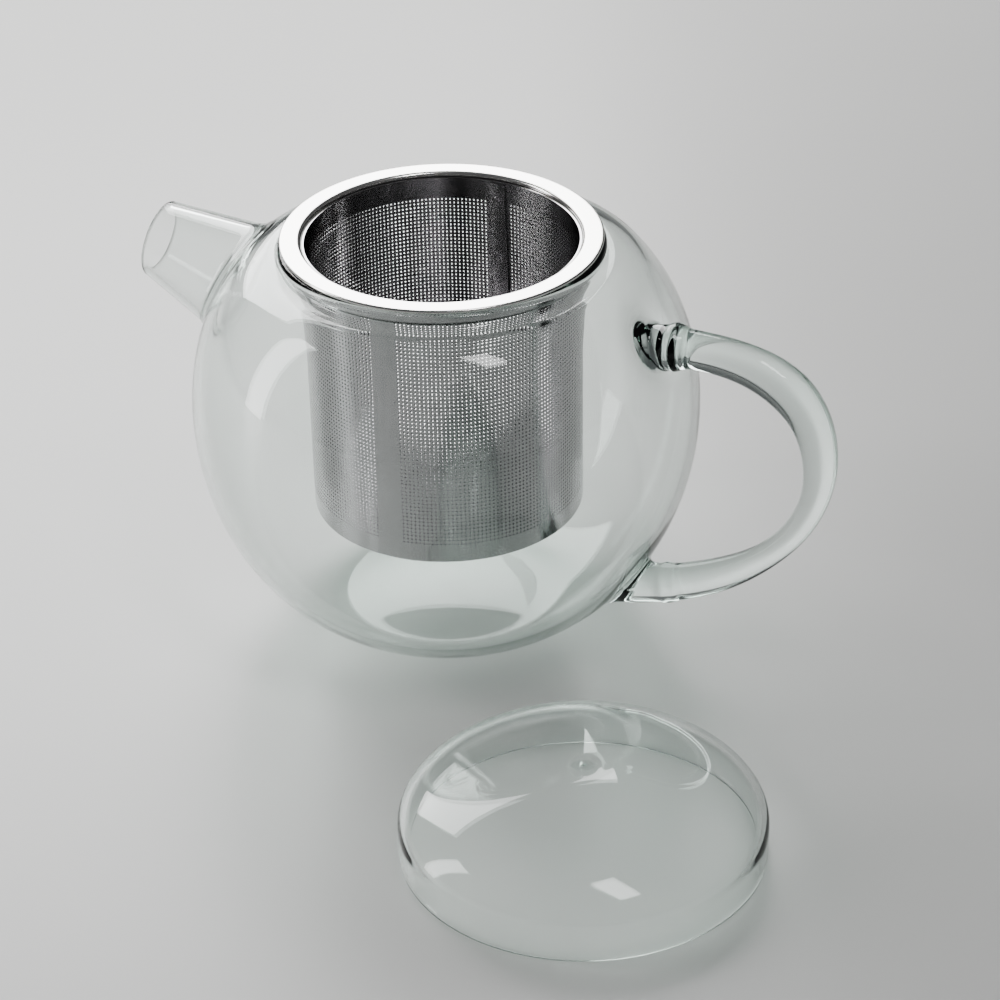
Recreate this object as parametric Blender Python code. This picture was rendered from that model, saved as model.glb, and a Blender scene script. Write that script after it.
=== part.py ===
"""Glass teapot: a blown bowl with a fused spout and handle, a drop-in steel infuser and a domed lid.

Metres, +Z up. The origin is the centre of the bowl's flat base, on the table. The spout points
along -X and the handle along +X. The infuser hangs in the mouth by its flange, and the lid lies
on the table beside the pot, right way up.
"""
import math

import bmesh
import bpy
from mathutils import Matrix, Vector

# Bowl
BOWL_RADIUS = 0.062
BOWL_WIDEST_Z = 0.057
LOWER_DEPTH = 0.06135
LOWER_POWER = 2.4
UPPER_HEIGHT = 0.04975
UPPER_POWER = 3.29
SHOULDER_Z = 0.093
GLASS_WALL = 0.0020
SEAT_RADIUS = 0.0424
SEAT_Z = 0.0969
LIP_RADIUS = 0.0379
LIP_Z = 0.0991
LIP_BEAD = 0.0015
LIP_BEAD_START = -30.0
LIP_BEAD_END = 210.0

# Bends of the bowl's cubic outlines. The first two are steps from the shoulder and the seat.
SHOULDER_TURN_IN = Vector((-0.0020, 0.0022))
SEAT_APPROACH = Vector((0.0022, -0.0004))
NECK_LEAVES_SEAT = Vector((-0.0016, 0.0001))
NECK_MEETS_BEAD = Vector((0.0396, 0.0973))
THROAT_LEAVES_BEAD = Vector((0.0366, 0.0963))
THROAT_MEETS_LINING = Vector((0.0385, 0.0950))

# Spout
SPOUT_TIP_X = -0.0766
SPOUT_TIP_Z = 0.0861
SPOUT_RISE = math.radians(18.0)
SPOUT_TIP_RADIUS = 0.00975
SPOUT_TAPER = 0.218
SPOUT_LENGTH = 0.030
SPOUT_WALL = 0.0018
SPOUT_CUT = math.radians(7.0)
PIERCING_NEAR = 0.012
PIERCING_FAR = 0.040

# Handle: two cubic arches in the XZ plane, upper root to lower root
HANDLE_UPPER_ARCH = ((0.0499, 0.0824), (0.0791, 0.0870), (0.0947, 0.0800), (0.0963, 0.0610))
HANDLE_LOWER_ARCH = ((0.0963, 0.0610), (0.0980, 0.0410), (0.0807, 0.0215), (0.0484, 0.0153))
HANDLE_ROOT_REACH = 0.008

# Rod radius at shares of the way from the upper root to the lower one
HANDLE_RADII = (
    (0.00, 0.0052), (0.12, 0.0047), (0.30, 0.0053), (0.42, 0.0048), (0.50, 0.0043),
    (0.62, 0.0034), (0.75, 0.0032), (0.88, 0.0043), (1.00, 0.0049),
)

# Infuser
FLANGE_RADIUS = 0.0388
FLANGE_TOP = 0.1018
FLANGE_THICKNESS = 0.0009
COLLAR_RADIUS = 0.0344
COLLAR_WALL = 0.0007
COLLAR_BOTTOM = 0.0986
SLEEVE_RADIUS = 0.0334
SLEEVE_WALL = 0.00045
SLEEVE_TOP = 0.1006
SLEEVE_BOTTOM = 0.0310
STRAINER_RADIUS = 0.0326
STRAINER_WALL = 0.0005
STRAINER_RIM = 0.0040
STRAINER_CORNER = 0.0012
STRAINER_CROWN = 0.0010

# Lid
LID_X = 0.0715
LID_Y = -0.0852
LID_RADIUS = 0.0420
LID_WALL_HEIGHT = 0.0080
LID_HEIGHT = 0.0234
LID_POWER = 1.92
LID_GLASS = 0.0020
LID_EDGE = 0.0009
KNOT_RADIUS = 0.0045
KNOT_HEIGHT = 0.0008
KNOT_SHOULDER = 0.7
KNOT_SINK = 0.0002

# Fit and mesh density
GAP = 0.0003
ROUND_SEGMENTS = 40
SPOUT_SEGMENTS = 28
ROD_SEGMENTS = 14
CURVE_STEPS = 6
BEND_STEPS = 3
BEAD_STEPS = 6
ROLL_STEPS = 4
HANDLE_STEPS = 12
LID_STEPS = 9


def clear_scene():
    for obj in list(bpy.data.objects):
        bpy.data.objects.remove(obj, do_unlink=True)


def make_material(name, color, roughness, metallic=0.0, transmission=0.0):
    material = bpy.data.materials.new(name)
    material.use_nodes = True
    shader = material.node_tree.nodes["Principled BSDF"]
    shader.inputs["Base Color"].default_value = (*color, 1.0)
    shader.inputs["Roughness"].default_value = roughness
    shader.inputs["Metallic"].default_value = metallic
    shader.inputs["Transmission Weight"].default_value = transmission
    return material


def add_object(name, bm, material=None, sharp_angle=35.0):
    bmesh.ops.recalc_face_normals(bm, faces=bm.faces)
    mesh = bpy.data.meshes.new(name)
    bm.to_mesh(mesh)
    bm.free()
    mesh.shade_smooth()
    mesh.set_sharp_from_angle(angle=math.radians(sharp_angle))
    if material:
        mesh.materials.append(material)
    obj = bpy.data.objects.new(name, mesh)
    bpy.context.scene.collection.objects.link(obj)
    return obj


def add_cutter(name, bm):
    cutter = add_object(name, bm)
    cutter.hide_render = True
    cutter.display_type = "WIRE"
    return cutter


def cut(obj, cutter):
    modifier = obj.modifiers.new(cutter.name, "BOOLEAN")
    modifier.operation = "DIFFERENCE"
    modifier.solver = "EXACT"
    modifier.object = cutter


# Outlines: lists of (radius, height) points, turned about Z

def cubic(points, steps):
    """Points along a cubic Bezier curve, its first point left out."""
    p0, p1, p2, p3 = (Vector(p) for p in points)
    path = []
    for i in range(1, steps + 1):
        t = i / steps
        s = 1.0 - t
        path.append(tuple(s**3 * p0 + 3 * s * s * t * p1 + 3 * s * t * t * p2 + t**3 * p3))
    return path


def arc(centre, radius, start, end, steps):
    """Points on an arc, both ends included. Angles in degrees, 0 pointing outward."""
    angles = (math.radians(start + (end - start) * i / steps) for i in range(steps + 1))
    return [(centre[0] + radius * math.cos(a), centre[1] + radius * math.sin(a)) for a in angles]


def offset_inward(outline, distance):
    """The outline moved by distance towards the axis side, along each point's own normal."""
    moved = []
    for i, point in enumerate(outline):
        before = Vector(outline[max(i - 1, 0)])
        after = Vector(outline[min(i + 1, len(outline) - 1)])
        along = (after - before).normalized()
        moved.append((point[0] - along.y * distance, point[1] + along.x * distance))
    return moved


def lathe(outline, segments):
    """A solid turned from an outline that starts and ends on the axis, or closes on itself."""
    bm = bmesh.new()
    rings = []
    for radius, height in outline:
        if radius < 1e-7:
            rings.append([bm.verts.new((0.0, 0.0, height))] * segments)
            continue
        angles = (2.0 * math.pi * i / segments for i in range(segments))
        rings.append([bm.verts.new((radius * math.cos(a), radius * math.sin(a), height)) for a in angles])
    pairs = list(zip(rings, rings[1:]))
    if outline[0][0] > 1e-7:
        pairs.append((rings[-1], rings[0]))
    for lower, upper in pairs:
        for i in range(segments):
            j = (i + 1) % segments
            corners = [lower[i], lower[j], upper[j], upper[i]]
            bm.faces.new(list(dict.fromkeys(corners)))
    return bm


def bowl_radius_at(height):
    if height < BOWL_WIDEST_Z:
        share = (BOWL_WIDEST_Z - height) / LOWER_DEPTH
        return BOWL_RADIUS * (1.0 - share**2) ** (1.0 / LOWER_POWER)
    share = (height - BOWL_WIDEST_Z) / UPPER_HEIGHT
    return BOWL_RADIUS * (1.0 - share**2) ** (1.0 / UPPER_POWER)


def bowl_skin():
    """The bowl's outer outline, from the base's edge up to the seat around the neck."""
    skin = []
    for i in range(CURVE_STEPS + 1):
        height = BOWL_WIDEST_Z * (1.0 - math.cos(0.5 * math.pi * i / CURVE_STEPS))
        skin.append((bowl_radius_at(height), height))
    climb = SHOULDER_Z - BOWL_WIDEST_Z
    for i in range(1, CURVE_STEPS + 1):
        height = BOWL_WIDEST_Z + climb * math.sin(0.5 * math.pi * i / CURVE_STEPS)
        skin.append((bowl_radius_at(height), height))
    shoulder = Vector(skin[-1])
    seat = Vector((SEAT_RADIUS, SEAT_Z))
    return skin + cubic((shoulder, shoulder + SHOULDER_TURN_IN, seat + SEAT_APPROACH, seat), BEND_STEPS)


def bowl_outline():
    skin = bowl_skin()
    bead = arc((LIP_RADIUS, LIP_Z), LIP_BEAD, LIP_BEAD_START, LIP_BEAD_END, BEAD_STEPS)
    seat = Vector(skin[-1])
    neck = cubic((seat, seat + NECK_LEAVES_SEAT, NECK_MEETS_BEAD, bead[0]), BEND_STEPS)
    lining = offset_inward(skin, GLASS_WALL)
    lining[0] = (lining[0][0], GLASS_WALL)
    throat = cubic((bead[-1], THROAT_LEAVES_BEAD, THROAT_MEETS_LINING, lining[-1]), BEND_STEPS)
    outer = [(0.0, 0.0)] + skin + neck[:-1] + bead
    inner = throat[:-1] + lining[::-1] + [(0.0, GLASS_WALL)]
    return outer + inner


def make_bowl(material):
    return add_object("glass_bowl", lathe(bowl_outline(), ROUND_SEGMENTS), material)


def make_bowl_envelope():
    """The bowl's outer skin, swollen by the gap: it trims the spout's and the handle's roots."""
    skin = offset_inward(bowl_skin(), -GAP)
    solid = [(0.0, -GAP)] + skin + [(0.0, skin[-1][1])]
    return add_cutter("bowl_envelope", lathe(solid, ROUND_SEGMENTS))


def spout_placement():
    """Local +Z runs out along the spout's axis, and local +X is the mouth's upper side."""
    outward = Vector((-math.cos(SPOUT_RISE), 0.0, math.sin(SPOUT_RISE)))
    upward = Vector((math.sin(SPOUT_RISE), 0.0, math.cos(SPOUT_RISE)))
    sideways = outward.cross(upward)
    placement = Matrix((upward, sideways, outward)).transposed().to_4x4()
    placement.translation = Vector((SPOUT_TIP_X, 0.0, SPOUT_TIP_Z))
    return placement


def spout_radius_at(depth):
    return SPOUT_TIP_RADIUS + SPOUT_TAPER * depth


def make_spout(material):
    half = 0.5 * SPOUT_WALL
    tip = arc((SPOUT_TIP_RADIUS - half, 0.0), half, 0.0, 180.0, ROLL_STEPS)
    root = spout_radius_at(SPOUT_LENGTH)
    outline = [(root, -SPOUT_LENGTH)] + tip + [(root - SPOUT_WALL, -SPOUT_LENGTH)]
    bm = lathe(outline, SPOUT_SEGMENTS)
    for vert in bm.verts:
        reach = 1.0 + min(vert.co.z, 0.0) / SPOUT_LENGTH
        vert.co.z += math.tan(SPOUT_CUT) * vert.co.x * reach
    spout = add_object("spout_tube", bm, material)
    spout.matrix_world = spout_placement()
    return spout


def make_spout_hole():
    """A cone that pierces the bowl's wall inside the spout's bore."""
    clearance = SPOUT_WALL + GAP
    outline = [
        (0.0, -PIERCING_FAR),
        (spout_radius_at(PIERCING_FAR) - clearance, -PIERCING_FAR),
        (spout_radius_at(PIERCING_NEAR) - clearance, -PIERCING_NEAR),
        (0.0, -PIERCING_NEAR),
    ]
    cutter = add_cutter("spout_hole", lathe(outline, SPOUT_SEGMENTS))
    cutter.matrix_world = spout_placement()
    return cutter


def handle_radius_at(share):
    """Rod radius along the handle, on a smooth curve through its stations."""
    stations = HANDLE_RADII
    last = len(stations) - 1

    def slope(i):
        (s0, r0), (s1, r1) = stations[max(i - 1, 0)], stations[min(i + 1, last)]
        return (r1 - r0) / (s1 - s0)

    i = max(k for k in range(last) if stations[k][0] <= share)
    (s0, r0), (s1, r1) = stations[i], stations[i + 1]
    span = s1 - s0
    t = (share - s0) / span
    curved = (r1 - r0) * t * t * (3.0 - 2.0 * t)
    leaving = slope(i) * span * t * (1.0 - t) ** 2
    arriving = slope(i + 1) * span * t * t * (1.0 - t)
    return r0 + curved + leaving - arriving


def straight_on(point, before, distance):
    """A point past the end of a path, in line with its last two points."""
    return tuple(Vector(point) + distance * (Vector(point) - Vector(before)).normalized())


def make_handle(material):
    upper = cubic(HANDLE_UPPER_ARCH, HANDLE_STEPS)
    lower = cubic(HANDLE_LOWER_ARCH, HANDLE_STEPS)
    arches = [HANDLE_UPPER_ARCH[0]] + upper + lower
    first = straight_on(arches[0], arches[1], HANDLE_ROOT_REACH)
    last = straight_on(arches[-1], arches[-2], HANDLE_ROOT_REACH)
    path = [first] + arches + [last]
    bm = bmesh.new()
    rings = []
    for i, (x, z) in enumerate(path):
        before = Vector(path[max(i - 1, 0)])
        after = Vector(path[min(i + 1, len(path) - 1)])
        along = (after - before).normalized()
        across = Vector((-along.y, 0.0, along.x))
        share = min(max((i - 1) / (len(arches) - 1), 0.0), 1.0)
        radius = handle_radius_at(share)
        ring = []
        for k in range(ROD_SEGMENTS):
            angle = 2.0 * math.pi * k / ROD_SEGMENTS
            side = Vector((0.0, radius * math.sin(angle), 0.0))
            ring.append(bm.verts.new(Vector((x, 0.0, z)) + across * radius * math.cos(angle) + side))
        rings.append(ring)
    for lower_ring, upper_ring in zip(rings, rings[1:]):
        for k in range(ROD_SEGMENTS):
            n = (k + 1) % ROD_SEGMENTS
            bm.faces.new((lower_ring[k], lower_ring[n], upper_ring[n], upper_ring[k]))
    bm.faces.new(rings[0])
    bm.faces.new(rings[-1])
    return add_object("handle_rod", bm, material)


def make_flange(material):
    """Flat pressed ring with a short collar that drops into the mouth."""
    half = 0.5 * FLANGE_THICKNESS
    middle = FLANGE_TOP - half
    inside = COLLAR_RADIUS - COLLAR_WALL
    rim = arc((FLANGE_RADIUS - half, middle), half, -90.0, 90.0, ROLL_STEPS)
    roll_centre = (inside + FLANGE_THICKNESS, middle - half)
    roll = arc(roll_centre, FLANGE_THICKNESS, 90.0, 180.0, ROLL_STEPS)
    collar = [(inside, COLLAR_BOTTOM), (COLLAR_RADIUS, COLLAR_BOTTOM), (COLLAR_RADIUS, middle - half)]
    return add_object("infuser_flange", lathe(rim + roll + collar, ROUND_SEGMENTS), material)


def make_sleeve(material):
    inside = SLEEVE_RADIUS - SLEEVE_WALL
    outline = [
        (SLEEVE_RADIUS, SLEEVE_BOTTOM),
        (SLEEVE_RADIUS, SLEEVE_TOP),
        (inside, SLEEVE_TOP),
        (inside, SLEEVE_BOTTOM),
    ]
    return add_object("infuser_sleeve", lathe(outline, ROUND_SEGMENTS), material)


def make_strainer(material):
    """Shallow dish that closes the sleeve's lower end, its rim turned up inside the sleeve."""
    floor = SLEEVE_BOTTOM + GAP
    rim_top = floor + STRAINER_RIM
    centre = (STRAINER_RADIUS - STRAINER_CORNER, floor + STRAINER_CORNER)
    crown = [(0.0, floor + STRAINER_CROWN), (0.5 * STRAINER_RADIUS, floor + 0.75 * STRAINER_CROWN)]
    outer = crown + arc(centre, STRAINER_CORNER, -90.0, 0.0, BEND_STEPS)
    outer.append((STRAINER_RADIUS, rim_top))
    inner = [(radius, height + STRAINER_WALL) for radius, height in crown]
    inner += arc(centre, STRAINER_CORNER - STRAINER_WALL, -90.0, 0.0, BEND_STEPS)
    inner.append((STRAINER_RADIUS - STRAINER_WALL, rim_top))
    return add_object("infuser_strainer", lathe(outer + inner[::-1], ROUND_SEGMENTS), material)


def lid_skin():
    """The lid's outer outline from the top of the straight wall to just short of the knot."""
    skin = []
    rise = LID_HEIGHT - LID_WALL_HEIGHT
    for i in range(LID_STEPS):
        share = math.sin(0.5 * math.pi * i / LID_STEPS)
        radius = LID_RADIUS * (1.0 - share**LID_POWER) ** (1.0 / LID_POWER)
        if radius > 1.5 * KNOT_RADIUS:
            skin.append((radius, LID_WALL_HEIGHT + rise * share))
    return skin


def make_lid(material):
    inside = LID_RADIUS - LID_GLASS
    foot = arc((LID_RADIUS - LID_EDGE, LID_EDGE), LID_EDGE, -90.0, 0.0, BEND_STEPS)
    heel = arc((inside + LID_EDGE, LID_EDGE), LID_EDGE, 180.0, 270.0, BEND_STEPS)
    skin = lid_skin()
    lining = offset_inward(skin, LID_GLASS)
    lining[0] = (inside, LID_WALL_HEIGHT)
    knot = [
        (0.0, LID_HEIGHT + KNOT_HEIGHT),
        (0.5 * KNOT_RADIUS, LID_HEIGHT + KNOT_SHOULDER * KNOT_HEIGHT),
        (KNOT_RADIUS, LID_HEIGHT - KNOT_SINK),
    ]
    lining.append((0.0, LID_HEIGHT - LID_GLASS))
    outline = knot + skin[::-1] + foot[::-1] + heel[::-1] + lining
    lid = add_object("lid_dome", lathe(outline, ROUND_SEGMENTS), material)
    lid.location = (LID_X, LID_Y, 0.0)
    return lid


def main():
    clear_scene()
    clear_glass = make_material("clear_glass", (0.93, 0.96, 0.95), 0.02, transmission=1.0)
    satin_steel = make_material("satin_steel", (0.78, 0.77, 0.74), 0.22, metallic=1.0)
    sheet_steel = make_material("sheet_steel", (0.60, 0.59, 0.60), 0.28, metallic=1.0)

    bowl = make_bowl(clear_glass)
    spout = make_spout(clear_glass)
    handle = make_handle(clear_glass)
    envelope = make_bowl_envelope()
    cut(spout, envelope)
    cut(handle, envelope)
    cut(bowl, make_spout_hole())

    make_flange(satin_steel)
    make_sleeve(sheet_steel)
    make_strainer(sheet_steel)
    make_lid(clear_glass)


main()
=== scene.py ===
"""Looks of the glass teapot: one fused glass pot, its steel infuser and its loose glass lid.

Metres, +Z up, in the CAD frame: the origin is the centre of the pot's base, on the table. The
spout points along -X and the handle along +X.
"""
import math

import bmesh
import bpy
import numpy as np
from mathutils import Matrix, Vector


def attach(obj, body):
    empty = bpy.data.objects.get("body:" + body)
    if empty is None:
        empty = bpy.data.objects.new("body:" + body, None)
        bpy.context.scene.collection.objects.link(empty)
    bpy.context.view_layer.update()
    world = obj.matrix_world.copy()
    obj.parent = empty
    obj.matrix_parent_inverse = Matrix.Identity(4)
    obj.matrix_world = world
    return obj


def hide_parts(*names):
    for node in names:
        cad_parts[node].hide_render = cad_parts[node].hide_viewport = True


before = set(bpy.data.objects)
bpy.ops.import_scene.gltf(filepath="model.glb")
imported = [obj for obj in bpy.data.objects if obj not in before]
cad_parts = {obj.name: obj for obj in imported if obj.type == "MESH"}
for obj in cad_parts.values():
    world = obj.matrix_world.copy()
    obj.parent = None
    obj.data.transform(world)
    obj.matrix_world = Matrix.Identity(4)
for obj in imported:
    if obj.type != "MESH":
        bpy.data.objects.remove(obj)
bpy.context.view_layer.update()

# Bowl
BOWL_RADIUS = 0.062
BOWL_WIDEST_Z = 0.057
LOWER_DEPTH = 0.06135
LOWER_POWER = 2.4
UPPER_HEIGHT = 0.04975
UPPER_POWER = 3.29
SHOULDER_Z = 0.093
GLASS_WALL = 0.0020
SEAT_RADIUS = 0.0424
SEAT_Z = 0.0969
LIP_RADIUS = 0.0379
LIP_Z = 0.0991
LIP_BEAD = 0.0015
LIP_BEAD_START = -30.0
LIP_BEAD_END = 210.0
NECK_LEAVES_SEAT = (-0.0016, 0.0001)
NECK_MEETS_BEAD = (0.0396, 0.0973)
THROAT_LEAVES_BEAD = (0.0366, 0.0963)
THROAT_MEETS_LINING = (0.0385, 0.0950)
HEEL_REACH = 0.0035
HEEL_PULL = 0.0011
SHOULDER_TURN_IN = (-0.0020, 0.0022)
SEAT_APPROACH = (0.0022, -0.0004)
FOOT_RADIUS = 0.0225
HEEL_Z = 0.0016
PUNT = 0.0005

# Spout
SPOUT_TIP = Vector((-0.0766, 0.0, 0.0861))
SPOUT_RISE = math.radians(18.0)
SPOUT_TIP_RADIUS = 0.00975
SPOUT_TAPER = 0.218
SPOUT_LENGTH = 0.030
SPOUT_WALL = 0.0018
SPOUT_CUT = math.radians(7.0)

# Joints of fused glass: heights of the wall's windows, then fillets up the tube and on the wall
SPOUT_WINDOW_Z = 0.0805
SPOUT_BORE_WINDOW_Z = 0.0790
SPOUT_FILLET = (0.0032, 0.0030)
SPOUT_BORE_FILLET = (0.0016, 0.0014)
UPPER_ROOT_WINDOW_Z = 0.0840
LOWER_ROOT_WINDOW_Z = 0.0158
UPPER_ROOT_FILLET = (0.0013, 0.0012)
LOWER_ROOT_FILLET = (0.0044, 0.0034)

# Handle: two cubic arches in the XZ plane, upper root to lower root
HANDLE_UPPER_ARCH = ((0.0499, 0.0824), (0.0791, 0.0870), (0.0947, 0.0800), (0.0963, 0.0610))
HANDLE_LOWER_ARCH = ((0.0963, 0.0610), (0.0980, 0.0410), (0.0807, 0.0215), (0.0484, 0.0153))
HANDLE_RADII = (
    (0.00, 0.0052), (0.12, 0.0047), (0.30, 0.0053), (0.42, 0.0048), (0.50, 0.0043),
    (0.62, 0.0034), (0.75, 0.0032), (0.88, 0.0043), (1.00, 0.0049),
)

# Melted folds of the handle near its roots: share of the way, height, spread
HANDLE_FOLDS = ((0.062, 0.0010, 0.013), (0.945, 0.0004, 0.010))

# Soft swellings of the bowl's lining behind the roots: height, depth, spread
ROOT_SAGS = ((0.0835, 0.0022, 0.0060), (0.0205, 0.0020, 0.0070))

# Infuser
FLANGE_RADIUS = 0.0388
FLANGE_TOP = 0.1018
FLANGE_THICKNESS = 0.0009
COLLAR_RADIUS = 0.0344
COLLAR_WALL = 0.0007
COLLAR_BOTTOM = 0.0986
SLEEVE_RADIUS = 0.0334
SLEEVE_WALL = 0.00045
SLEEVE_TOP = 0.1006
SLEEVE_BOTTOM = 0.0310
HOLE_PITCH = 0.0010
HOLE_RADIUS = 0.00025
HOLE_ROWS = 60
HOLE_COLUMNS = 99
FIRST_HOLE_Z = 0.0359
LAP_WIDTH = 0.0046
LAP_BEVEL = 0.00008
LAP_LIFT = 0.00002
LAP_DRIFT = 0.0004
LAP_DRIFT_TURNS = 70.0
SPOT_WELD_HEIGHTS = (0.0955, 0.0800, 0.0645, 0.0490)
SPOT_WELD = (
    (0.0, 0.0), (0.00125, 0.0), (0.00120, 0.00007), (0.00100, 0.00009), (0.00090, 0.00004),
    (0.0, 0.00002),
)
DISH_RADIUS = 0.0326
DISH_WALL = 0.0005
DISH_RIM = 0.0040
DISH_CORNER = 0.0012
DISH_CROWN = 0.0010
DISH_FLOOR_Z = 0.0313
DISH_HOLES_RADIUS = 0.0285
DISH_LAP = 0.9
DISH_LIFT = 0.00003

# Lid
LID_AT = Vector((0.0715, -0.0852, 0.0))
LID_RADIUS = 0.0420
LID_WALL_HEIGHT = 0.0080
LID_HEIGHT = 0.0234
LID_POWER = 1.92
LID_GLASS = 0.0020
LID_EDGE = 0.0009
KNOT_RADIUS = 0.0045
KNOT_HEIGHT = 0.0008

# Materials: colours are linear, steels are darkest, lightest, smoothest and roughest
GLASS_TINTS = ((0.985, 0.992, 0.988), (0.965, 0.985, 0.975))
GLASS_IOR = 1.47
GLASS_DEPTH_COLOR = (0.72, 0.90, 0.83, 1.0)
GLASS_DEPTH_DENSITY = 40.0
SATIN_STEEL = ((0.76, 0.75, 0.73), (0.80, 0.79, 0.77), 0.18, 0.22)
SHEET_STEEL = ((0.50, 0.49, 0.50), (0.56, 0.55, 0.56), 0.11, 0.15)
STEEL_GRAIN = (900, 900, 60)

# Stage: each softbox has a name, azimuth and elevation in degrees, distance, size and watts
FLOOR_RADIUS = 4.0
FLOOR_TINTS = ((0.3, (0.62, 0.62, 0.61)), (0.7, (0.64, 0.64, 0.63)))
SKY = ((0.0, (0.20, 0.20, 0.202)), (0.3, (0.09, 0.09, 0.093)), (0.7, (0.11, 0.11, 0.114)))
SOFTBOXES = (
    ("window", 226.0, 32.0, 0.85, (0.80, 0.52), 8.5),
    ("side_card", 292.0, 20.0, 0.80, (0.16, 0.70), 2.2),
    ("top_light", 60.0, 66.0, 0.95, (0.16, 0.40), 1.6),
)
SOFTBOX_AIM = Vector((0.02, -0.02, 0.05))
BOUNCES = 48
CAMERA_AT = Vector((0.3240, -0.6821, 0.4845))
CAMERA_FORWARD = Vector((-0.35418, 0.77879, -0.51773))
CAMERA_UP = Vector((-0.19516, 0.47987, 0.85535))
CAMERA_LENS = 127.7

# Mesh density
AROUND = 240
ROW_STEP = 0.00128


# Curves: arrays of (radius, height) or (x, z) rows

def cubic(points, steps):
    p0, p1, p2, p3 = (np.array(p, float) for p in points)
    t = np.linspace(0.0, 1.0, steps + 1)[:, None]
    s = 1.0 - t
    return s**3 * p0 + 3 * s * s * t * p1 + 3 * s * t * t * p2 + t**3 * p3


def arc(centre, radius, start, end, steps):
    """Points on an arc. Angles in degrees, 0 pointing outward."""
    angle = np.radians(np.linspace(start, end, steps + 1))
    return np.stack([centre[0] + radius * np.cos(angle), centre[1] + radius * np.sin(angle)], 1)


def joined(*runs):
    """Runs of points in one array, each run starting where the last one ended."""
    return np.concatenate([runs[0]] + [run[1:] for run in runs[1:]])


def lengths(path):
    return np.concatenate([[0.0], np.cumsum(np.linalg.norm(np.diff(path, axis=0), axis=1))])


def resampled(path, step):
    s = lengths(path)
    count = max(2, int(round(s[-1] / step)))
    at = np.linspace(0.0, s[-1], count + 1)
    return np.stack([np.interp(at, s, path[:, i]) for i in range(path.shape[1])], 1)


def offset(path, distance):
    """The path moved to its left by distance, along each point's own normal."""
    along = np.gradient(path, axis=0)
    along /= np.linalg.norm(along, axis=1)[:, None]
    return path + distance * np.stack([-along[:, 1], along[:, 0]], 1)


def unit(v):
    return v / np.linalg.norm(v, axis=-1, keepdims=True)


# Meshes

class Shell:
    """Vertices and quads of one mesh, built up ring by ring."""

    def __init__(self):
        self.points = []
        self.faces = []
        self.count = 0

    def ring(self, points):
        points = np.asarray(points, float).reshape(-1, 3)
        self.points.append(points)
        self.count += len(points)
        return np.arange(self.count - len(points), self.count)

    def strip(self, a, b):
        """Quads between two closed rings, or triangles where one of them is a single point."""
        n = max(len(a), len(b))
        k = np.arange(n)
        nxt = (k + 1) % n
        if len(a) == 1:
            self.faces += np.stack([np.full(n, a[0]), b[nxt], b[k]], 1).tolist()
        elif len(b) == 1:
            self.faces += np.stack([a[k], a[nxt], np.full(n, b[0])], 1).tolist()
        else:
            self.faces += np.stack([a[k], a[nxt], b[nxt], b[k]], 1).tolist()

    def strips(self, rings):
        for a, b in zip(rings, rings[1:]):
            self.strip(a, b)

    def object(self, name, material, sharp_angle=50.0):
        used = np.unique(np.concatenate([np.asarray(f) for f in self.faces]))
        index = np.full(self.count, -1)
        index[used] = np.arange(len(used))
        points = np.concatenate(self.points)[used]
        mesh = bpy.data.meshes.new(name)
        mesh.from_pydata(points.tolist(), [], [index[f].tolist() for f in self.faces])
        bm = bmesh.new()
        bm.from_mesh(mesh)
        bmesh.ops.recalc_face_normals(bm, faces=bm.faces)
        bm.to_mesh(mesh)
        bm.free()
        mesh.shade_smooth()
        mesh.set_sharp_from_angle(angle=math.radians(sharp_angle))
        mesh.materials.append(material)
        obj = bpy.data.objects.new(name, mesh)
        bpy.context.scene.collection.objects.link(obj)
        return obj


def turned(outline, segments=AROUND):
    """Rings of points for an outline turned about Z. A point on the axis gives one point."""
    angle = 2.0 * math.pi * np.arange(segments) / segments
    for radius, height in outline:
        if radius < 1e-7:
            yield np.array([[0.0, 0.0, height]])
        else:
            level = np.full(segments, height)
            yield np.stack([radius * np.cos(angle), radius * np.sin(angle), level], 1)


class Skin:
    """A surface of revolution whose height rises all the way along its outline."""

    def __init__(self, outline):
        self.outline = outline
        self.s = lengths(outline)

    def radius(self, z):
        return np.interp(z, self.outline[:, 1], self.outline[:, 0])

    def along(self, z):
        return np.interp(z, self.outline[:, 1], self.s)

    def point(self, azimuth, s):
        radius = np.interp(s, self.s, self.outline[:, 0])
        height = np.interp(s, self.s, self.outline[:, 1])
        return np.stack([radius * np.cos(azimuth), radius * np.sin(azimuth), height], -1)

    def onto(self, p):
        """p moved level onto the surface, and its place there."""
        azimuth = np.arctan2(p[:, 1], p[:, 0])
        s = self.along(p[:, 2])
        return self.point(azimuth, s), azimuth, s

    def normal(self, p):
        azimuth = np.arctan2(p[:, 1], p[:, 0])
        step = 2e-4
        slope = (self.radius(p[:, 2] + step) - self.radius(p[:, 2] - step)) / (2 * step)
        return unit(np.stack([np.cos(azimuth), np.sin(azimuth), -slope], -1))


# The fused glass pot

def bowl_radius_at(z):
    low = np.clip((BOWL_WIDEST_Z - z) / LOWER_DEPTH, 0.0, 1.0)
    high = np.clip((z - BOWL_WIDEST_Z) / UPPER_HEIGHT, 0.0, 1.0)
    return BOWL_RADIUS * (1.0 - low**2) ** (1.0 / LOWER_POWER) * (1.0 - high**2) ** (1.0 / UPPER_POWER)


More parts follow.
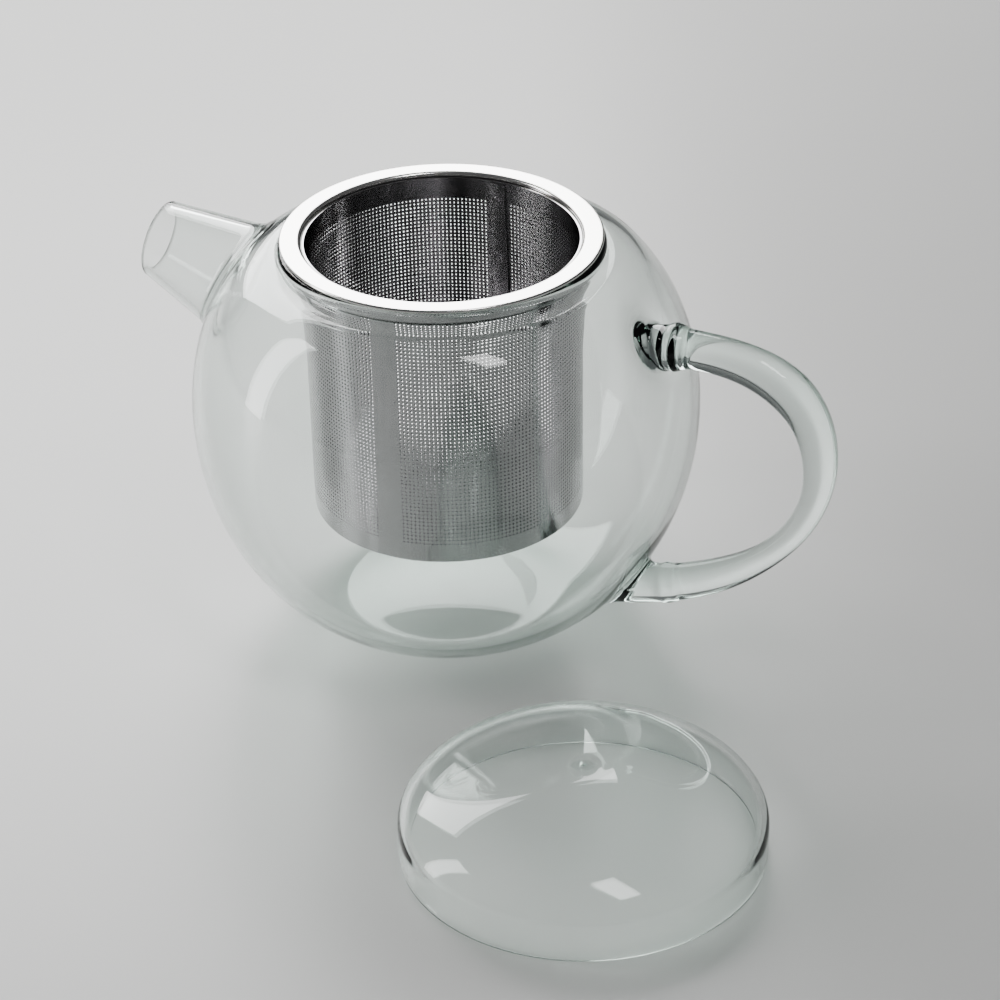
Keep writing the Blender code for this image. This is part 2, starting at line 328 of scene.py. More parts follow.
def bowl_wall():
    """The bowl's outer outline from the foot ring to the seat around the neck."""
    turn = 0.5 * math.pi * np.linspace(0.0, 1.0, 400)
    rise = HEEL_Z + (BOWL_WIDEST_Z - HEEL_Z) * (1.0 - np.cos(turn))
    climb = BOWL_WIDEST_Z + (SHOULDER_Z - BOWL_WIDEST_Z) * np.sin(turn)
    z = np.concatenate([rise, climb[1:]])
    wall = np.stack([bowl_radius_at(z), z], 1)
    slope = (wall[1] - wall[0]) / (wall[1, 1] - wall[0, 1])
    heel = cubic(
        ((FOOT_RADIUS, 0.0), (FOOT_RADIUS + HEEL_REACH, 0.0), wall[0] - HEEL_PULL * slope, wall[0]), 40
    )
    shoulder = wall[-1]
    seat = np.array((SEAT_RADIUS, SEAT_Z))
    top = cubic((shoulder, shoulder + SHOULDER_TURN_IN, seat + SEAT_APPROACH, seat), 60)
    return joined(heel, wall, top)


def window_loop(rows, columns, from_top):
    """The (row, column) edge of a window in a grid, from the middle of one side."""
    r0, r1 = rows
    c0, c1 = columns
    if from_top:
        r0, r1 = r1, r0
    middle = (c0 + c1) // 2
    up = 1 if r1 > r0 else -1
    loop = [(r0, c) for c in range(middle, c1)]
    loop += [(r, c1) for r in range(r0, r1, up)]
    loop += [(r1, c) for c in range(c1, c0, -1)]
    loop += [(r, c0) for r in range(r1, r0, -up)]
    loop += [(r0, c) for c in range(c0, middle)]
    return loop


class Wall:
    """One face of the bowl's wall, as a grid of rows with windows left open for joints."""

    def __init__(self, shell, outline, step=ROW_STEP):
        self.shell = shell
        self.skin = Skin(outline)
        path = resampled(outline, step)
        self.row_s = np.linspace(0.0, self.skin.s[-1], len(path))
        azimuth = 2.0 * math.pi * np.arange(AROUND) / AROUND
        self.first = len(shell.points)
        self.rows = [shell.ring(self.skin.point(azimuth, np.full(AROUND, s))) for s in self.row_s]
        self.open = np.zeros((len(self.rows) - 1, AROUND), bool)

    def window(self, middle_z, rows, columns, column, from_top=False):
        centre = int(round(np.interp(self.skin.along(middle_z), self.row_s, np.arange(len(self.row_s)))))
        r0 = centre - rows // 2
        c0 = column - columns // 2
        for c in range(c0, c0 + columns):
            self.open[r0 : r0 + rows, c % AROUND] = True
        loop = window_loop((r0, r0 + rows), (c0, c0 + columns), from_top)
        ring = np.array([self.rows[r][c % AROUND] for r, c in loop])
        azimuth = np.array([2.0 * math.pi * c / AROUND for r, c in loop])
        s = np.array([self.row_s[r] for r, c in loop])
        return ring, azimuth, s

    def sag(self, height, depth, spread):
        """A soft swelling of the wall into the pot on the handle's side."""
        middle = np.array([self.skin.radius(height), 0.0, height])
        inward = -self.skin.normal(middle[None])[0]
        for block in self.shell.points[self.first : self.first + len(self.rows)]:
            near = np.linalg.norm(block - middle, axis=1) / spread
            block += depth * np.exp(-(near**2))[:, None] * inward

    def close(self):
        for i, (low, high) in enumerate(zip(self.rows, self.rows[1:])):
            for c in np.flatnonzero(~self.open[i]):
                n = (c + 1) % AROUND
                self.shell.faces.append([low[c], low[n], high[n], high[c]])


def crossing(skin, tube, outside, inside):
    """How far along each line of the tube it meets the skin."""
    for _ in range(50):
        middle = 0.5 * (outside + inside)
        p = tube(middle)
        out = np.hypot(p[:, 0], p[:, 1]) > skin.radius(p[:, 2])
        outside = np.where(out, middle, outside)
        inside = np.where(out, inside, middle)
    return 0.5 * (outside + inside)


def weld(shell, wall, window, tube, ends, fillet, steps=(5, 8)):
    """Rings from a window's edge over the wall and round a fillet onto the tube.

    ends are two places along the tube, outside and inside the wall. fillet is how far it reaches
    up the tube and on the wall. Returns the rings, and how far along each line of the tube the
    last one is.
    """
    outside, inside = ends
    up_tube, on_wall = fillet
    ring, azimuth, s = window
    n = len(ring)
    meet = crossing(wall.skin, tube, np.full(n, outside), np.full(n, inside))
    corner = tube(meet)
    back = 1e-4 * np.sign(outside - inside)
    along_tube = unit(tube(meet + back) - corner)
    centre = corner.mean(0)
    normal = wall.skin.normal(corner)
    away = corner - centre
    away = unit(away - (away * normal).sum(1)[:, None] * normal)
    foot, foot_azimuth, foot_s = wall.skin.onto(corner + on_wall * away)
    foot_azimuth = azimuth + (foot_azimuth - azimuth + math.pi) % (2 * math.pi) - math.pi
    foot_normal = wall.skin.normal(foot)
    towards = corner - foot
    towards = unit(towards - (towards * foot_normal).sum(1)[:, None] * foot_normal)
    speed = np.linalg.norm(tube(meet + back) - corner, axis=1) / abs(back)
    start = meet + np.sign(back) * up_tube / speed
    top = tube(start)
    rings = [ring]
    for i in range(1, steps[0]):
        t = i / steps[0]
        rings.append(shell.ring(wall.skin.point(
            azimuth + t * (foot_azimuth - azimuth), s + t * (foot_s - s)
        )))
    handle_wall = 0.6 * np.linalg.norm(corner - foot, axis=1)[:, None]
    handle_tube = 0.6 * np.linalg.norm(corner - top, axis=1)[:, None]
    p1 = foot + handle_wall * towards
    p2 = top - handle_tube * along_tube
    for i in range(steps[1] + 1):
        t = i / steps[1]
        u = 1.0 - t
        rings.append(shell.ring(u**3 * foot + 3 * u * u * t * p1 + 3 * u * t * t * p2 + t**3 * top))
    return rings, start


def spout_point(inset):
    """The spout's surface at each of the loop's angles: a function of depth from the tip."""
    outward = np.array((-math.cos(SPOUT_RISE), 0.0, math.sin(SPOUT_RISE)))
    upward = np.array((math.sin(SPOUT_RISE), 0.0, math.cos(SPOUT_RISE)))
    sideways = np.array((0.0, -1.0, 0.0))

    def point(depth, angle, extra=0.0):
        radius = SPOUT_TIP_RADIUS + SPOUT_TAPER * np.maximum(depth, 0.0) - inset - extra
        height = -radius * np.cos(angle)
        side = radius * np.sin(angle)
        reach = np.clip(1.0 - depth / SPOUT_LENGTH, 0.0, 1.0)
        axial = -depth + math.tan(SPOUT_CUT) * height * reach
        return (
            np.array(SPOUT_TIP)
            + height[:, None] * upward
            + side[:, None] * sideways
            + axial[:, None] * outward
        )

    return point


def add_spout(shell, outer, inner):
    rows, columns = 32, 32
    count = 2 * (rows + columns)
    angle = 2.0 * math.pi * np.arange(count) / count
    outside = spout_point(0.0)
    bore = spout_point(SPOUT_WALL)
    middle = AROUND // 2
    outer_window = outer.window(SPOUT_WINDOW_Z, rows, columns, middle)
    inner_window = inner.window(SPOUT_BORE_WINDOW_Z, rows, columns, middle)
    out_rings, out_start = weld(
        shell, outer, outer_window, lambda d: outside(d, angle), (0.004, 0.040), SPOUT_FILLET
    )
    in_rings, in_start = weld(
        shell, inner, inner_window, lambda d: bore(d, angle), (0.004, 0.045), SPOUT_BORE_FILLET
    )
    half = 0.5 * SPOUT_WALL
    tube = []
    for t in np.linspace(0.0, 1.0, 22)[1:]:
        tube.append(shell.ring(outside(out_start * (1.0 - t), angle)))
    for turn in np.radians(np.linspace(0.0, 180.0, 13)[1:-1]):
        extra = half * (1.0 - math.cos(turn))
        tube.append(shell.ring(outside(np.full(count, -half * math.sin(turn)), angle, extra)))
    for t in np.linspace(0.0, 1.0, 22)[:-1]:
        tube.append(shell.ring(bore(in_start * t, angle)))
    shell.strips(out_rings + tube + in_rings[::-1])


def handle_line():
    """The handle's centreline as points over an even share from root to root."""
    return joined(cubic(HANDLE_UPPER_ARCH, 300), cubic(HANDLE_LOWER_ARCH, 300))


def handle_radius_at(share):
    """Rod radius on a smooth curve through its stations, with its melted folds."""
    stops, radius = np.array(HANDLE_RADII).T
    ends = np.concatenate([stops[:1], stops, stops[-1:]])
    sides = np.concatenate([radius[:1], radius, radius[-1:]])
    slope = (sides[2:] - sides[:-2]) / (ends[2:] - ends[:-2])
    i = np.clip(np.searchsorted(stops, share, side="right") - 1, 0, len(stops) - 2)
    span = stops[i + 1] - stops[i]
    t = (share - stops[i]) / span
    curved = (radius[i + 1] - radius[i]) * t * t * (3.0 - 2.0 * t)
    leaving = slope[i] * span * t * (1.0 - t) ** 2
    arriving = slope[i + 1] * span * t * t * (1.0 - t)
    folds = sum(height * np.exp(-(((share - at) / spread) ** 2)) for at, height, spread in HANDLE_FOLDS)
    return radius[i] + curved + leaving - arriving + folds


def handle_point(angle):
    line = handle_line()
    shares = np.linspace(0.0, 1.0, len(line))
    slope = unit(np.gradient(line, axis=0))
    length = lengths(line)[-1]

    def point(share):
        """Past either root the rod runs straight on."""
        share = np.broadcast_to(share, angle.shape)
        held = np.clip(share, 0.0, 1.0)
        x, z = (np.interp(held, shares, line[:, i]) for i in (0, 1))
        dx, dz = (np.interp(held, shares, slope[:, i]) for i in (0, 1))
        radius = handle_radius_at(held)
        inward = -radius * np.cos(angle)
        beyond = (share - held) * length
        return np.stack(
            [x + beyond * dx - dz * inward, radius * np.sin(angle), z + beyond * dz + dx * inward], 1
        )

    return point


def add_handle(shell, outer):
    count = 96
    angle = 2.0 * math.pi * np.arange(count) / count
    point = handle_point(angle)
    upper = outer.window(UPPER_ROOT_WINDOW_Z, 22, 26, 0)
    lower = outer.window(LOWER_ROOT_WINDOW_Z, 26, 22, 0, from_top=True)
    up_rings, up_start = weld(shell, outer, upper, point, (0.22, -0.1), UPPER_ROOT_FILLET)
    low_rings, low_start = weld(shell, outer, lower, point, (0.75, 1.1), LOWER_ROOT_FILLET)
    rod = []
    even = np.linspace(0.0, 1.0, 220)[1:-1]
    for t in even - 0.8 * np.sin(2.0 * math.pi * even) / (2.0 * math.pi):
        rod.append(shell.ring(point(up_start + t * (low_start - up_start))))
    shell.strips(up_rings + rod + low_rings[::-1])


def make_pot(material):
    shell = Shell()
    wall = bowl_wall()
    lining = offset(wall, GLASS_WALL)
    lining[:, 1] = np.maximum(lining[:, 1], GLASS_WALL)
    outer = Wall(shell, wall)
    inner = Wall(shell, lining)
    add_spout(shell, outer, inner)
    add_handle(shell, outer)
    for height, depth, spread in ROOT_SAGS:
        inner.sag(height, depth, spread)
    outer.close()
    inner.close()
    bead = arc((LIP_RADIUS, LIP_Z), LIP_BEAD, LIP_BEAD_START, LIP_BEAD_END, 18)
    neck = cubic((wall[-1], wall[-1] + NECK_LEAVES_SEAT, NECK_MEETS_BEAD, bead[0]), 8)
    throat = cubic((bead[-1], THROAT_LEAVES_BEAD, THROAT_MEETS_LINING, lining[-1]), 8)
    rim = joined(neck, bead, throat)[1:-1]
    rim_rings = [shell.ring(points) for points in turned(rim)]
    shell.strips([outer.rows[-1]] + rim_rings + [inner.rows[-1]])
    for edge, rise in ((outer.rows[0], PUNT), (inner.rows[0], 0.0)):
        first = np.concatenate(shell.points)[edge]
        radius = float(np.hypot(first[0, 0], first[0, 1]))
        height = float(first[0, 2])
        share = np.linspace(1.0, 0.0, 17)[1:]
        outline = np.stack([radius * share, height + rise * (1.0 - share**2)], 1)
        shell.strips([edge] + [shell.ring(points) for points in turned(outline)])
    return shell.object("glass_pot", material)


# The infuser

def make_turned(name, outline, material, closed=True, sharp_angle=50.0):
    shell = Shell()
    rings = [shell.ring(points) for points in turned(outline)]
    if closed:
        rings.append(rings[0])
    shell.strips(rings)
    return shell.object(name, material, sharp_angle)


def make_flange(material):
    half = 0.5 * FLANGE_THICKNESS
    middle = FLANGE_TOP - half
    inside = COLLAR_RADIUS - COLLAR_WALL
    rim = arc((FLANGE_RADIUS - half, middle), half, -90.0, 90.0, 10)
    roll = arc((inside + FLANGE_THICKNESS, middle - half), FLANGE_THICKNESS, 90.0, 180.0, 10)
    lap = 0.00015
    collar = np.array([
        (inside, COLLAR_BOTTOM + lap), (inside + lap, COLLAR_BOTTOM),
        (COLLAR_RADIUS - lap, COLLAR_BOTTOM), (COLLAR_RADIUS, COLLAR_BOTTOM + lap),
        (COLLAR_RADIUS, middle - half - 0.0004), (COLLAR_RADIUS + 0.0004, middle - half),
    ])
    top = np.linspace(rim[-1], roll[0], 10)[1:-1]
    outline = np.concatenate([rim, top, roll, collar])
    return make_turned("infuser_flange_ring", outline, material)


def perforated(columns, rows, place, keep=None):
    """A punched sheet over cells (0..columns, 0..rows). place(u, v, layer) gives points.

    keep(u, v), where given, tells which cells to make from their middles.
    """
    corner_u, corner_v = np.meshgrid(np.arange(columns + 1), np.arange(rows + 1), indexing="ij")
    corner_u, corner_v = corner_u.ravel(), corner_v.ravel()
    cell_u, cell_v = np.meshgrid(np.arange(columns), np.arange(rows), indexing="ij")
    cell_u, cell_v = cell_u.ravel(), cell_v.ravel()
    if keep:
        kept = keep(cell_u + 0.5, cell_v + 0.5)
        cell_u, cell_v = cell_u[kept], cell_v[kept]
    turn = np.radians(-157.5 + 45.0 * np.arange(8))
    size = HOLE_RADIUS / HOLE_PITCH
    hole_u = (cell_u[:, None] + 0.5 + size * np.cos(turn)).ravel()
    hole_v = (cell_v[:, None] + 0.5 + size * np.sin(turn)).ravel()
    corners = len(corner_u)
    holes = len(hole_u)
    points = []
    for layer in (0, 1):
        points.append(place(corner_u, corner_v, layer))
        points.append(place(hole_u, hole_v, layer))
    corner = cell_u * (rows + 1) + cell_v
    c = [corner, corner + rows + 1, corner + rows + 2, corner + 1]
    first = corners + 8 * np.arange(len(cell_u))
    h = [first + k for k in range(8)]
    layer_size = corners + holes
    faces = []
    for layer in (0, 1):
        base = layer * layer_size
        for k in range(4):
            a, b = c[k], c[(k + 1) % 4]
            low, high = h[(2 * k + 1) % 8], h[(2 * k + 2) % 8]
            quad = [a, b, high, low]
            three = [a, low, h[2 * k]]
            if layer:
                quad, three = quad[::-1], three[::-1]
            faces += (np.stack(quad, 1) + base).tolist()
            faces += (np.stack(three, 1) + base).tolist()
    for k in range(8):
        a, b = h[k], h[(k + 1) % 8]
        faces += np.stack([a, b, b + layer_size, a + layer_size], 1).tolist()
    return np.concatenate(points), faces


def plain_sheet(us, vs, place):
    """Two layers of plain quads over the grid lines us and vs."""
    grid_u, grid_v = np.meshgrid(us, vs, indexing="ij")
    n, m = grid_u.shape
    index = np.arange(n * m).reshape(n, m)
    points = []
    faces = []
    for layer in (0, 1):
        points.append(place(grid_u.ravel(), grid_v.ravel(), layer))
        quad = [index[:-1, :-1], index[1:, :-1], index[1:, 1:], index[:-1, 1:]]
        if layer:
            quad = quad[::-1]
        faces += (np.stack([q.ravel() for q in quad], 1) + layer * n * m).tolist()
    return np.concatenate(points), faces


def sheet_object(name, parts, material, sharp_angle=40.0):
    points = []
    faces = []
    start = 0
    for part_points, part_faces in parts:
        points.append(part_points)
        faces += [[i + start for i in face] for face in part_faces]
        start += len(part_points)
    mesh = bpy.data.meshes.new(name)
    mesh.from_pydata(np.concatenate(points).tolist(), [], faces)
    bm = bmesh.new()
    bm.from_mesh(mesh)
    bmesh.ops.remove_doubles(bm, verts=bm.verts, dist=2e-6)
    loose = [vert for vert in bm.verts if not vert.link_faces]
    bmesh.ops.delete(bm, geom=loose, context="VERTS")
    border = [edge for edge in bm.edges if edge.is_boundary]
    bmesh.ops.bridge_loops(bm, edges=border)
    bm.to_mesh(mesh)
    bm.free()
    mesh.shade_smooth()
    mesh.set_sharp_from_angle(angle=math.radians(sharp_angle))
    mesh.materials.append(material)
    obj = bpy.data.objects.new(name, mesh)
    bpy.context.scene.collection.objects.link(obj)
    return obj


def sleeve_place(start_azimuth):
    """Points of the sleeve's sheet: u in holes around from an azimuth, v in holes up."""

    def place(u, v, layer):
        radius = SLEEVE_RADIUS - layer * SLEEVE_WALL
        azimuth = start_azimuth + u * HOLE_PITCH / SLEEVE_RADIUS
        z = FIRST_HOLE_Z + (v - 0.5) * HOLE_PITCH
        return np.stack([radius * np.cos(azimuth), radius * np.sin(azimuth), z + 0.0 * u], 1)

    return place


def make_sleeve(material):
    """Four punched quarters with their plain margins, closed along their edges."""
    half_round = math.pi * SLEEVE_RADIUS / HOLE_PITCH
    band = 0.5 * (half_round - HOLE_COLUMNS)
    low = (SLEEVE_BOTTOM - FIRST_HOLE_Z) / HOLE_PITCH + 0.5
    high = (SLEEVE_TOP - FIRST_HOLE_Z) / HOLE_PITCH + 0.5
    pieces = []
    for name, side, first, last in (
        ("front_right", -90.0, 0, 50), ("back_right", -90.0, 50, HOLE_COLUMNS),
        ("back_left", 90.0, 0, 50), ("front_left", 90.0, 50, HOLE_COLUMNS),
    ):
        place = sleeve_place(math.radians(side) + (band + first) * HOLE_PITCH / SLEEVE_RADIUS)
        columns = last - first
        u0 = -band if first == 0 else 0
        u1 = columns + band if last == HOLE_COLUMNS else columns
        us = np.arange(columns + 1.0)
        vs = np.arange(HOLE_ROWS + 1.0)
        if first == 0:
            wide = np.concatenate([np.linspace(u0, 0.0, 4)[:-1], us])
        else:
            wide = np.concatenate([us, np.linspace(columns, u1, 4)[1:]])
        parts = [perforated(columns, HOLE_ROWS, place)]
        parts.append(plain_sheet(wide, np.linspace(low, 0.0, 5), place))
        parts.append(plain_sheet(wide, np.linspace(HOLE_ROWS, high, 5), place))
        margin = np.linspace(u0, 0.0, 4) if first == 0 else np.linspace(columns, u1, 4)
        parts.append(plain_sheet(margin, vs, place))
        pieces.append(sheet_object(f"infuser_sheet_{name}", parts, material))
    return pieces


def make_lap(material):
    """The sheet's free edge, lapped inside the back of the sleeve and spot welded."""
    shell = Shell()
    outside = SLEEVE_RADIUS - SLEEVE_WALL - LAP_LIFT
    inside = outside - SLEEVE_WALL
    half = 0.5 * LAP_WIDTH
    section = [(half, outside), (-half, outside)]
    section += [(-half, inside + LAP_BEVEL), (-half + LAP_BEVEL, inside)]
    section += [(side, inside) for side in np.linspace(-half, half, 12)[1:-1]]
    section += [(half - LAP_BEVEL, inside), (half, inside + LAP_BEVEL)]
    side, radius = np.array(section).T
    rings = []
    for z in np.linspace(SLEEVE_BOTTOM + DISH_RIM + 0.0006, SLEEVE_TOP - 0.0003, 60):
        drift = LAP_DRIFT * math.sin(LAP_DRIFT_TURNS * z)
        azimuth = 0.5 * math.pi + (side + drift) / SLEEVE_RADIUS
        level = np.full(len(side), z)
        rings.append(shell.ring(np.stack([radius * np.cos(azimuth), radius * np.sin(azimuth), level], 1)))
    shell.strips(rings)
    for ring in (rings[0], rings[-1]):
        middle = np.concatenate(shell.points)[ring].mean(0)
        shell.strip(ring, shell.ring(middle))
    for z in SPOT_WELD_HEIGHTS:
        discs = []
        for points in turned(SPOT_WELD, 32):
            across, up, depth = points.T
            discs.append(shell.ring(np.stack([across, inside - depth, z + up], 1)))
        shell.strips(discs)
    return shell.object("infuser_sheet_lap", material)


def dish_height(radius):
    return DISH_FLOOR_Z + DISH_CROWN * (1.0 - (radius / (DISH_RADIUS - DISH_CORNER)) ** 2)


def make_dish(material):
    """The punched bottom and the plain turned-up rim around it."""
    columns = 2 * math.ceil(DISH_HOLES_RADIUS / HOLE_PITCH)
    middle = 0.5 * columns

    def place(u, v, layer):
        x = (u - middle) * HOLE_PITCH
        y = (v - middle) * HOLE_PITCH
        return np.stack([x, y, dish_height(np.hypot(x, y)) + (1 - layer) * DISH_WALL], 1)

    def inside(u, v):
        return np.hypot(u - middle, v - middle) * HOLE_PITCH < DISH_HOLES_RADIUS

    sheet = perforated(columns, columns, place, inside)
    floor = sheet_object("infuser_dish_floor", [sheet], material)
    edge = DISH_HOLES_RADIUS - DISH_LAP * HOLE_PITCH
    centre = (DISH_RADIUS - DISH_CORNER, DISH_FLOOR_Z + DISH_CORNER)
    lower = np.array([(edge, dish_height(edge) - DISH_LIFT)])
    upper = np.array([(edge, dish_height(edge) + DISH_WALL + DISH_LIFT)])
    bend = arc(centre, DISH_CORNER, -90.0, 0.0, 8)
    inner_bend = arc(centre, DISH_CORNER - DISH_WALL, -90.0, 0.0, 8)
    top = DISH_FLOOR_Z + DISH_RIM
    rim = np.array([(DISH_RADIUS, top), (DISH_RADIUS - DISH_WALL, top)])
    outline = np.concatenate([lower, bend, rim, inner_bend[::-1], upper])
    return floor, make_turned("infuser_dish_rim", outline, material)


# The lid

def make_lid(material):
    rise = LID_HEIGHT - LID_WALL_HEIGHT
    share = np.sin(0.5 * math.pi * np.linspace(0.0, 1.0, 200))
    radius = LID_RADIUS * (1.0 - share**LID_POWER) ** (1.0 / LID_POWER)
    dome = np.stack([radius, LID_WALL_HEIGHT + rise * share], 1)
    dome[-1, 0] = 0.0
    foot = arc((LID_RADIUS - LID_EDGE, LID_EDGE), LID_EDGE, -90.0, 0.0, 8)
    inside = LID_RADIUS - LID_GLASS
    heel = arc((inside + LID_EDGE, LID_EDGE), LID_EDGE, 180.0, 270.0, 8)
    wall = np.linspace(foot[-1], dome[0], 8)
    lining = offset(dome, LID_GLASS)
    lining[0] = (inside, LID_WALL_HEIGHT)
    lining[-1, 0] = 0.0
    inner_wall = np.linspace(lining[0], heel[0], 8)
    knot = KNOT_HEIGHT * np.exp(-((dome[:, 0] / (0.5 * KNOT_RADIUS)) ** 2))
    dome[:, 1] += knot
    outer = resampled(dome, 0.0008)
    inner = resampled(lining, 0.0008)
    outside = [outer[::-1], wall[::-1][1:], foot[::-1][1:]]
    outline = np.concatenate(outside + [heel[::-1], inner_wall[::-1][1:], inner[1:]])
    obj = make_turned("glass_lid", outline, material, closed=False)
    obj.location = LID_AT
    return obj


# Materials

def node_material(name):
    material = bpy.data.materials.new(name)
    material.use_nodes = True
    nodes = material.node_tree.nodes
    return material, nodes, material.node_tree.links, nodes["Principled BSDF"]


def ramp(nodes, stops):
    node = nodes.new("ShaderNodeValToRGB")
    elements = node.color_ramp.elements
    while len(elements) < len(stops):
        elements.new(0.5)
    for element, (position, color) in zip(elements, stops):
        element.position = position
        element.color = (*color, 1.0)
    return node


def noise(nodes, links, coordinate, scale, detail=2.0):
    node = nodes.new("ShaderNodeTexNoise")
    node.inputs["Scale"].default_value = scale
    node.inputs["Detail"].default_value = detail
    links.new(coordinate, node.inputs["Vector"])
    return node


def add_bump(nodes, links, shader, height, strength, distance):
    bump = nodes.new("ShaderNodeBump")
    bump.inputs["Strength"].default_value = strength
    bump.inputs["Distance"].default_value = distance
    links.new(height, bump.inputs["Height"])
    links.new(bump.outputs["Normal"], shader.inputs["Normal"])


def glass_material(name, tint, thick_tint):
    """Clear glass, faintly green where it is thick. Lamps shine through it, dimmed at its edges."""
    material, nodes, links, shader = node_material(name)
    place = nodes.new("ShaderNodeTexCoord").outputs["Object"]
    cloud = noise(nodes, links, place, 40.0)
    color = ramp(nodes, ((0.35, tint), (0.70, thick_tint)))
    links.new(cloud.outputs["Fac"], color.inputs["Fac"])
    links.new(color.outputs["Color"], shader.inputs["Base Color"])
    wave = noise(nodes, links, place, 28.0, 1.0)
    add_bump(nodes, links, shader, wave.outputs["Fac"], 0.10, 0.002)
    shader.inputs["Transmission Weight"].default_value = 1.0
    shader.inputs["IOR"].default_value = GLASS_IOR
    shader.inputs["Roughness"].default_value = 0.0
    clear = nodes.new("ShaderNodeBsdfTransparent")
    edge = nodes.new("ShaderNodeLayerWeight")
    edge.inputs["Blend"].default_value = 0.35
    shade = ramp(nodes, ((0.0, (0.97, 0.98, 0.975)), (0.9, (0.45, 0.47, 0.46))))
    links.new(edge.outputs["Facing"], shade.inputs["Fac"])
    links.new(shade.outputs["Color"], clear.inputs["Color"])
    rays = nodes.new("ShaderNodeLightPath")
    mix = nodes.new("ShaderNodeMixShader")
    links.new(rays.outputs["Is Shadow Ray"], mix.inputs["Fac"])
    links.new(shader.outputs["BSDF"], mix.inputs[1])
    links.new(clear.outputs["BSDF"], mix.inputs[2])
    links.new(mix.outputs["Shader"], nodes["Material Output"].inputs["Surface"])
    depth = nodes.new("ShaderNodeVolumeAbsorption")
    depth.inputs["Color"].default_value = GLASS_DEPTH_COLOR
    depth.inputs["Density"].default_value = GLASS_DEPTH_DENSITY
    links.new(depth.outputs["Volume"], nodes["Material Output"].inputs["Volume"])
    return material


def steel_material(name, dark, light, rough_low, rough_high):
    """Steel with a fine grain drawn out along Z."""
    material, nodes, links, shader = node_material(name)
    place = nodes.new("ShaderNodeTexCoord").outputs["Object"]
    stretch = nodes.new("ShaderNodeMapping")
    stretch.inputs["Scale"].default_value = STEEL_GRAIN
    links.new(place, stretch.inputs["Vector"])
    lines = noise(nodes, links, stretch.outputs["Vector"], 1.0, 3.0)
    cloud = noise(nodes, links, place, 60.0, 3.0)
    blend = nodes.new("ShaderNodeMix")
    blend.inputs["Factor"].default_value = 0.5
    links.new(lines.outputs["Fac"], blend.inputs["A"])
    links.new(cloud.outputs["Fac"], blend.inputs["B"])
    color = ramp(nodes, ((0.3, dark), (0.7, light)))
    links.new(blend.outputs["Result"], color.inputs["Fac"])
    links.new(color.outputs["Color"], shader.inputs["Base Color"])
    rough = ramp(nodes, ((0.3, (rough_low,) * 3), (0.7, (rough_high,) * 3)))
    links.new(blend.outputs["Result"], rough.inputs["Fac"])
    links.new(rough.outputs["Color"], shader.inputs["Roughness"])
    add_bump(nodes, links, shader, lines.outputs["Fac"], 0.15, 0.00005)
    shader.inputs["Metallic"].default_value = 1.0
    return material


# Stage, light and camera

def add_camera():
    data = bpy.data.cameras.new("camera")
    data.lens = CAMERA_LENS
    data.sensor_width = 36.0
    data.clip_start = 0.01
    data.clip_end = 50.0
    camera = bpy.data.objects.new("camera", data)
    bpy.context.scene.collection.objects.link(camera)
    back = -CAMERA_FORWARD.normalized()
    right = CAMERA_UP.cross(back).normalized()
    up = back.cross(right)
    camera.matrix_world = Matrix((right, up, back)).transposed().to_4x4()
    camera.location = CAMERA_AT
    bpy.context.scene.camera = camera


def add_softbox(name, azimuth, elevation, distance, size, power):
    """An area light at that place around the object, facing it. Azimuth 0 is the -Y side."""
    data = bpy.data.lights.new(name, "AREA")
    data.shape = "RECTANGLE"
    data.size, data.size_y = size
    data.energy = power
    light = bpy.data.objects.new(name, data)
    bpy.context.scene.collection.objects.link(light)
    a, e = math.radians(azimuth), math.radians(elevation)
    direction = Vector((math.sin(a) * math.cos(e), -math.cos(a) * math.cos(e), math.sin(e)))
    light.location = SOFTBOX_AIM + distance * direction
    light.rotation_euler = direction.to_track_quat("Z", "Y").to_euler()


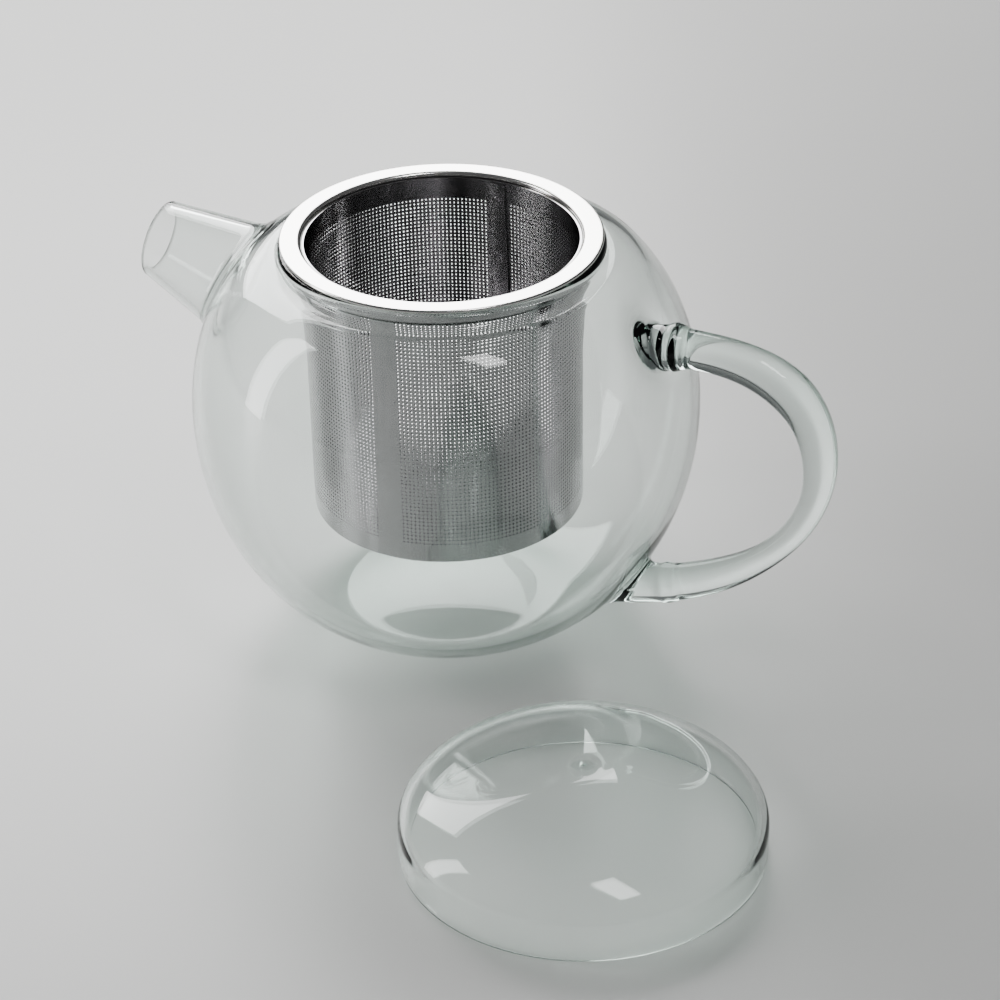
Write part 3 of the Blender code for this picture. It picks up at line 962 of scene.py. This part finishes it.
def add_floor():
    bm = bmesh.new()
    bmesh.ops.create_circle(bm, cap_ends=True, radius=FLOOR_RADIUS, segments=128)
    mesh = bpy.data.meshes.new("floor")
    bm.to_mesh(mesh)
    bm.free()
    material, nodes, links, shader = node_material("pale_floor")
    place = nodes.new("ShaderNodeTexCoord").outputs["Object"]
    cloud = noise(nodes, links, place, 6.0)
    color = ramp(nodes, FLOOR_TINTS)
    links.new(cloud.outputs["Fac"], color.inputs["Fac"])
    links.new(color.outputs["Color"], shader.inputs["Base Color"])
    shader.inputs["Roughness"].default_value = 0.35
    mesh.materials.append(material)
    floor = bpy.data.objects.new("floor", mesh)
    bpy.context.scene.collection.objects.link(floor)


def add_world():
    world = bpy.data.worlds.new("studio")
    bpy.context.scene.world = world
    world.use_nodes = True
    nodes = world.node_tree.nodes
    links = world.node_tree.links
    place = nodes.new("ShaderNodeTexCoord").outputs["Generated"]
    split = nodes.new("ShaderNodeSeparateXYZ")
    links.new(place, split.inputs["Vector"])
    sky = ramp(nodes, SKY)
    links.new(split.outputs["Z"], sky.inputs["Fac"])
    links.new(sky.outputs["Color"], nodes["Background"].inputs["Color"])


def main():
    clear_glass = glass_material("clear_glass", *GLASS_TINTS)
    satin_steel = steel_material("satin_steel", *SATIN_STEEL)
    sheet_steel = steel_material("sheet_steel", *SHEET_STEEL)

    pot = make_pot(clear_glass)
    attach(pot, "pot")
    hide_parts("glass_bowl", "spout_tube", "handle_rod")

    flange = make_flange(satin_steel)
    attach(flange, "infuser")
    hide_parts("infuser_flange")

    sheets = make_sleeve(sheet_steel)
    for sheet in sheets:
        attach(sheet, "infuser")
    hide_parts("infuser_sleeve")

    lap = make_lap(sheet_steel)
    dish_floor, dish_rim = make_dish(sheet_steel)
    for piece in (lap, dish_floor, dish_rim):
        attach(piece, "infuser")
    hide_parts("infuser_strainer")

    lid = make_lid(clear_glass)
    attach(lid, "lid")
    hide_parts("lid_dome")

    add_floor()
    add_world()
    for softbox in SOFTBOXES:
        add_softbox(*softbox)
    add_camera()
    cycles = bpy.context.scene.cycles
    cycles.max_bounces = BOUNCES
    cycles.transmission_bounces = BOUNCES
    cycles.transparent_max_bounces = 24
    cycles.sample_clamp_indirect = 4.0
    bpy.context.scene.view_settings.look = "AgX - Medium High Contrast"


main()
